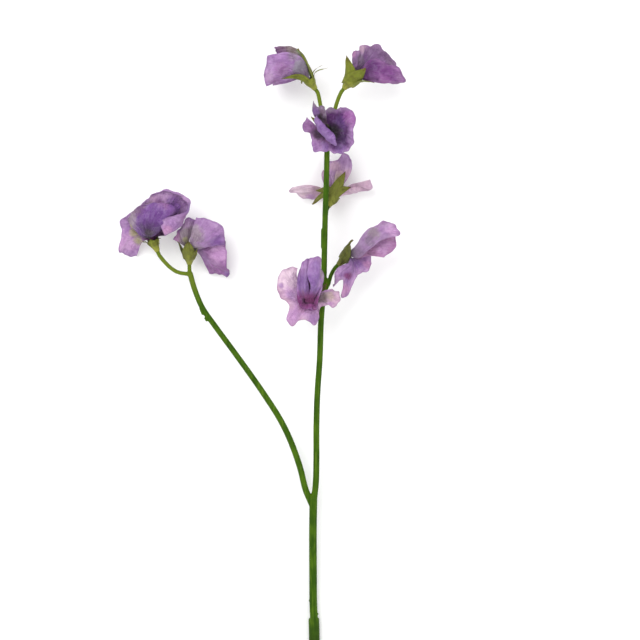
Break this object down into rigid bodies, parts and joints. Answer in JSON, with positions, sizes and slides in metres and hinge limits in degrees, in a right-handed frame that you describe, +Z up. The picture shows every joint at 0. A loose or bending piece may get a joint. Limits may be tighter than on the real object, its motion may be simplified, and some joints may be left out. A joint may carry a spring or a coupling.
{
  "type": "sweet pea flower stem",
  "caption": "Cut sweet pea stem lying on its side: a slender forked green stem with ruffled lilac and purple blooms in pointed green calyces.",
  "frame": {"origin": "centre of the footprint, on the surface that the stem lies on", "axes": "+Y runs up the stem from its cut end to its top blooms, +Z is up from the surface, +X is to the right"},
  "size_m": [0.1872, 0.3985, 0.0544],
  "materials": {
    "stem_green": "matte, slightly waxy green",
    "calyx_green": "matte olive green, yellowish at the foot",
    "petal_lilac": "soft matte lilac with fine veins",
    "petal_purple": "soft matte purple with fine veins",
    "petal_pale": "soft matte pale pink lilac"
  },
  "bodies": {
    "root": {"stem": "stem_green", "left_outer_calyx": "calyx_green", "left_outer_standard": "petal_lilac", "left_outer_wing_right": "petal_purple", "left_outer_wing_left": "petal_purple", "left_outer_keel": "petal_pale", "left_inner_calyx": "calyx_green", "left_inner_standard": "petal_lilac", "left_inner_wing_right": "petal_purple", "left_inner_wing_left": "petal_purple", "left_inner_keel": "petal_pale", "top_left_calyx": "calyx_green", "top_left_standard": "petal_lilac", "top_left_wing_right": "petal_purple", "top_left_wing_left": "petal_purple", "top_left_keel": "petal_pale", "top_right_calyx": "calyx_green", "top_right_standard": "petal_lilac", "top_right_wing_right": "petal_purple", "top_right_wing_left": "petal_purple", "top_right_keel": "petal_pale", "upper_front_calyx": "calyx_green", "upper_front_standard": "petal_lilac", "upper_front_wing_right": "petal_purple", "upper_front_wing_left": "petal_purple", "upper_front_keel": "petal_pale", "upper_back_calyx": "calyx_green", "upper_back_standard": "petal_lilac", "upper_back_wing_right": "petal_purple", "upper_back_wing_left": "petal_purple", "upper_back_keel": "petal_pale", "lower_front_calyx": "calyx_green", "lower_front_standard": "petal_lilac", "lower_front_wing_right": "petal_purple", "lower_front_wing_left": "petal_purple", "lower_front_keel": "petal_pale", "lower_side_calyx": "calyx_green", "lower_side_standard": "petal_lilac", "lower_side_wing_right": "petal_purple", "lower_side_wing_left": "petal_purple", "lower_side_keel": "petal_pale"}
  },
  "joints": []
}
